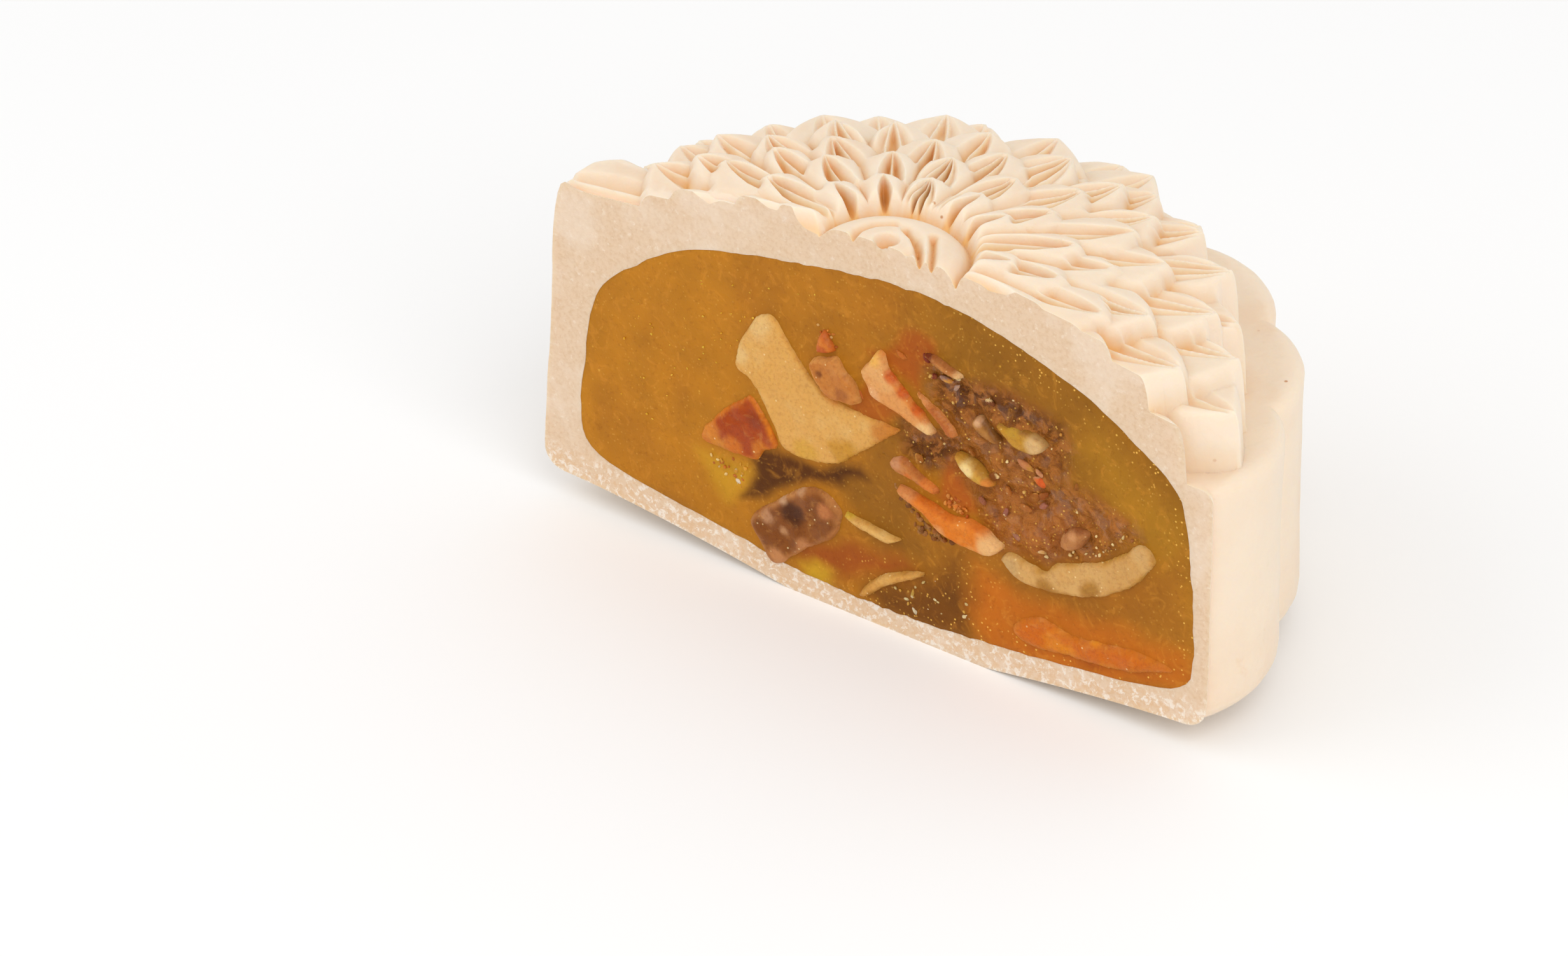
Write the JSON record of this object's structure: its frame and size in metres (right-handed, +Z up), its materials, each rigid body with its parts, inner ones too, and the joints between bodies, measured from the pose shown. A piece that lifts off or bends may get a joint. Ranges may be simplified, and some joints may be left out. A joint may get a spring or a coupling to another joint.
{
  "type": "half momoyama mooncake",
  "caption": "Half of a round moulded bean-paste mooncake with a petal-patterned top, cut open to show a fruit-jelly filling with nuts, peel and seeds.",
  "frame": {"origin": "on the surface that the half cake rests on, under the middle of its bounding box", "axes": "+Z up through the moulded top; +X along the cut, to the right seen from the cut side; +Y away from the cut, so the cut face looks along -Y"},
  "size_m": [0.0792, 0.0406, 0.0425],
  "materials": {
    "skin": "matt, fine-grained baked bean paste",
    "filling": "moist, sticky fruit jelly with a wet sheen",
    "nut": "satin, cut nut and seed flesh with a little syrup on it",
    "peel": "glossy candied peel and dried fruit"
  },
  "bodies": {
    "root": {"skin": "skin", "filling": "filling", "pale_slice": "nut", "nut_flake": "nut", "orange_chip": "peel", "almond_sliver": "nut", "red_sliver": "peel", "pale_strip": "nut", "green_peel": "peel", "small_peel": "peel", "melon_seed": "nut", "almond_upper": "nut", "almond_lower": "nut", "pink_morsel": "peel", "coconut_arc": "nut", "thin_sliver": "nut", "seed_sliver": "nut", "orange_peel": "peel", "red_peel": "peel", "brown_fruit": "peel"}
  },
  "joints": []
}
